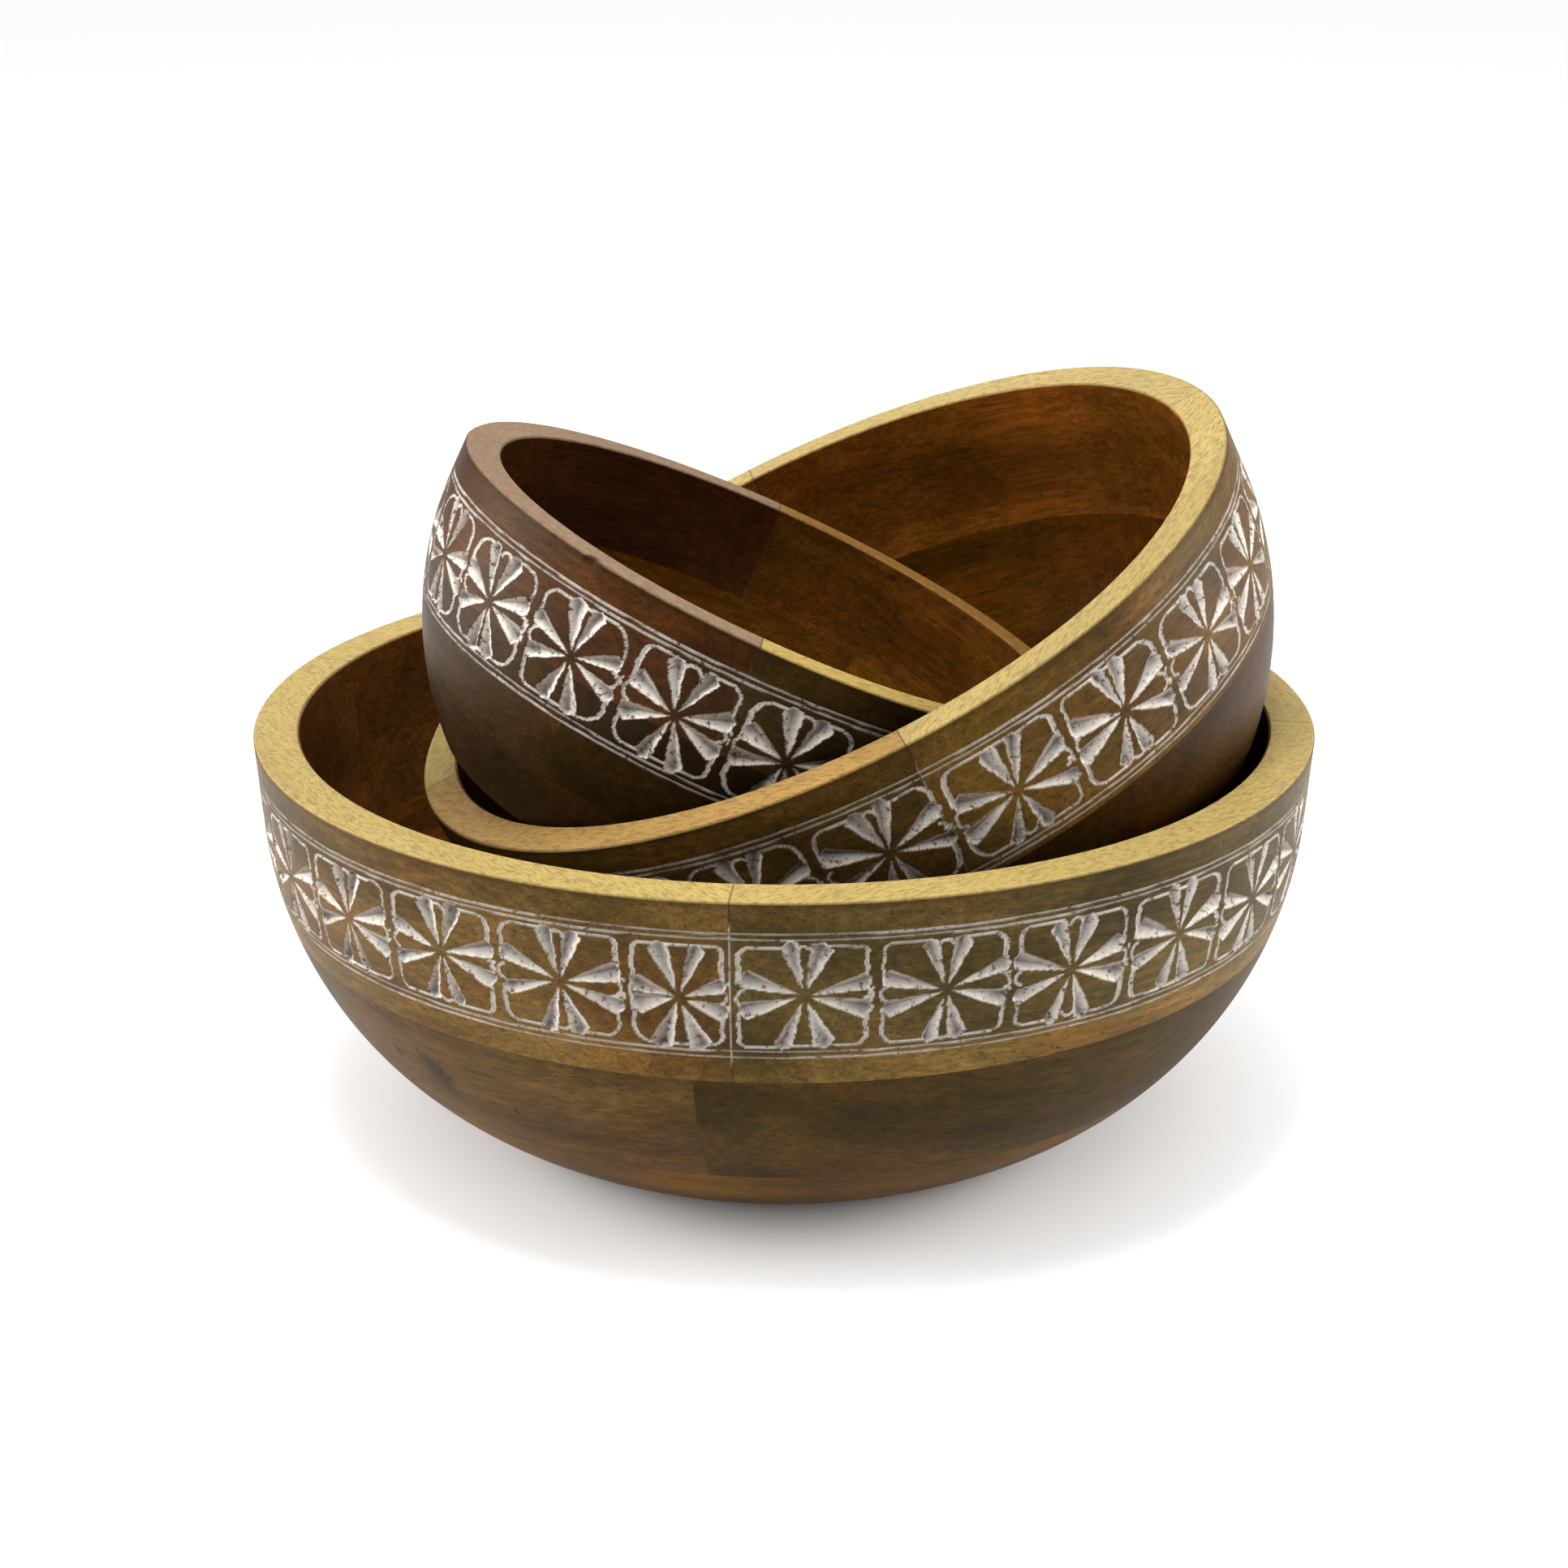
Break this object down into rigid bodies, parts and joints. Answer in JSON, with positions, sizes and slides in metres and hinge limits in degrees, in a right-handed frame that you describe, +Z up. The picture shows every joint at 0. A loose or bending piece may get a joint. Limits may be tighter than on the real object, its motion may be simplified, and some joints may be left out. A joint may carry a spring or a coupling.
{
  "type": "carved wooden bowl",
  "caption": "Nest of round turned wooden bowls with a carved star band below each flat rim; the inner bowls lean in the outer one and lift out.",
  "frame": {"origin": "centre of the underside of the large bowl's foot, on the plane it stands on", "axes": "+Z up along the large bowl's axis, +X to the side where the medium bowl's rim is high, -Y towards the front joint of the large rim"},
  "size_m": [0.3, 0.2999, 0.2017],
  "materials": {
    "large_rim_wood": "waxed satin stain, pale wash in the carving",
    "large_wall_wood": "waxed satin stain, pale wash in the carving",
    "large_base_wood": "waxed satin stain, pale wash in the carving",
    "medium_rim_wood": "waxed satin stain, pale wash in the carving",
    "medium_wall_wood": "waxed satin stain, pale wash in the carving",
    "medium_base_wood": "waxed satin stain, pale wash in the carving",
    "small_rim_wood": "waxed satin stain, pale wash in the carving",
    "small_wall_wood": "waxed satin stain, pale wash in the carving",
    "small_base_wood": "waxed satin stain, pale wash in the carving"
  },
  "bodies": {
    "large_bowl": {"large_base_board": "large_base_wood", "large_rim_segment_1": "large_rim_wood", "large_rim_segment_2": "large_rim_wood", "large_rim_segment_3": "large_rim_wood", "large_rim_segment_4": "large_rim_wood", "large_wall_segment_1": "large_wall_wood", "large_wall_segment_2": "large_wall_wood", "large_wall_segment_3": "large_wall_wood", "large_wall_segment_4": "large_wall_wood"},
    "medium_bowl": {"medium_base_board": "medium_base_wood", "medium_rim_segment_1": "medium_rim_wood", "medium_rim_segment_2": "medium_rim_wood", "medium_rim_segment_3": "medium_rim_wood", "medium_rim_segment_4": "medium_rim_wood", "medium_wall_segment_1": "medium_wall_wood", "medium_wall_segment_2": "medium_wall_wood", "medium_wall_segment_3": "medium_wall_wood", "medium_wall_segment_4": "medium_wall_wood"},
    "small_bowl": {"small_base_board": "small_base_wood", "small_rim_segment_1": "small_rim_wood", "small_rim_segment_2": "small_rim_wood", "small_rim_segment_3": "small_rim_wood", "small_rim_segment_4": "small_rim_wood", "small_wall_segment_1": "small_wall_wood", "small_wall_segment_2": "small_wall_wood", "small_wall_segment_3": "small_wall_wood", "small_wall_segment_4": "small_wall_wood"}
  },
  "joints": [
    {"name": "medium_bowl_lift", "type": "slide", "parent": "large_bowl", "child": "medium_bowl", "axis": [0, 0, 1], "range_m": [0, 0.14]},
    {"name": "small_bowl_lift", "type": "slide", "parent": "medium_bowl", "child": "small_bowl", "axis": [0, 0, 1], "range_m": [0, 0.16]}
  ]
}
